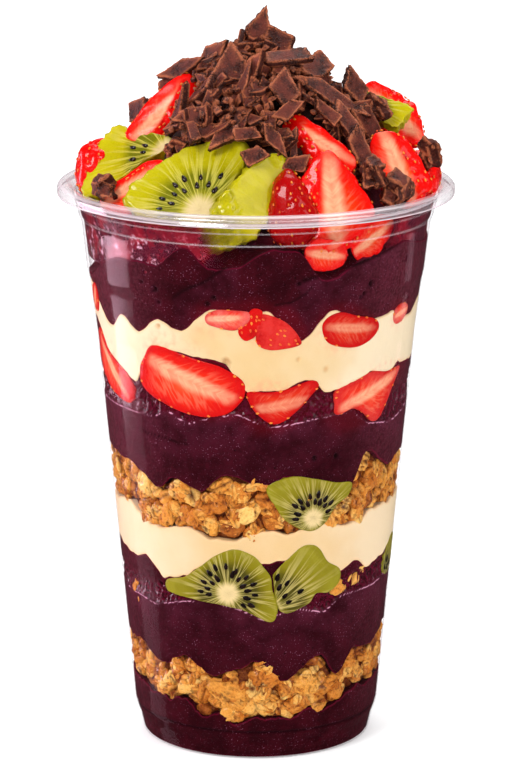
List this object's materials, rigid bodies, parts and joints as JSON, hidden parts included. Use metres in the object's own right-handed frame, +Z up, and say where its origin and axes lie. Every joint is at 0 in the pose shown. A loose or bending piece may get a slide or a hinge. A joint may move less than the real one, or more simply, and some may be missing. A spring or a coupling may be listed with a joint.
{
  "type": "acai cup",
  "caption": "Tall clear plastic cup of acai sorbet layered with cream, granola, strawberry and kiwi, heaped with fruit and broken chocolate.",
  "frame": {"origin": "centre of the cup's foot, on the surface it stands on", "axes": "+Z up along the cup's axis; the picture's side faces -Y, with +X to the viewer's right"},
  "size_m": [0.098, 0.098, 0.1827],
  "materials": {
    "clear_plastic": "clear thermoformed plastic",
    "acai": "dark purple sorbet, slightly wet",
    "cream": "pale yellow vanilla cream",
    "granola": "golden toasted oats",
    "strawberry": "wet red strawberry",
    "kiwi": "wet green kiwi",
    "chocolate": "matt dark chocolate"
  },
  "bodies": {
    "root": {"acai_base": "acai", "acai_low": "acai", "acai_mid": "acai", "acai_top": "acai", "chocolate_back_right": "chocolate", "chocolate_far_right": "chocolate", "chocolate_heap": "chocolate", "chocolate_left": "chocolate", "chocolate_plate": "chocolate", "chocolate_right": "chocolate", "cream_high": "cream", "cream_low": "cream", "cup": "clear_plastic", "granola_low": "granola", "granola_mid": "granola", "granola_scrap_left": "granola", "granola_scrap_right": "granola", "kiwi_back_right": "kiwi", "kiwi_behind": "kiwi", "kiwi_behind_left": "kiwi", "kiwi_front": "kiwi", "kiwi_left": "kiwi", "kiwi_low_left": "kiwi", "kiwi_low_left_behind": "kiwi", "kiwi_low_middle": "kiwi", "kiwi_low_right": "kiwi", "kiwi_mid": "kiwi", "kiwi_mid_behind": "kiwi", "kiwi_thick": "kiwi", "strawberry_back_left": "strawberry", "strawberry_back_right": "strawberry", "strawberry_behind": "strawberry", "strawberry_behind_right": "strawberry", "strawberry_dark": "strawberry", "strawberry_far_left": "strawberry", "strawberry_far_right": "strawberry", "strawberry_front": "strawberry", "strawberry_high_face": "strawberry", "strawberry_high_far_right": "strawberry", "strawberry_high_left": "strawberry", "strawberry_high_middle": "strawberry", "strawberry_high_right": "strawberry", "strawberry_high_right_behind": "strawberry", "strawberry_high_tip": "strawberry", "strawberry_high_tip_behind": "strawberry", "strawberry_left": "strawberry", "strawberry_low_big": "strawberry", "strawberry_low_big_behind": "strawberry", "strawberry_low_left": "strawberry", "strawberry_low_middle": "strawberry", "strawberry_low_right": "strawberry", "strawberry_low_right_behind": "strawberry", "strawberry_right": "strawberry", "strawberry_slice": "strawberry", "strawberry_sunk_middle": "strawberry", "strawberry_sunk_right": "strawberry"}
  },
  "joints": []
}
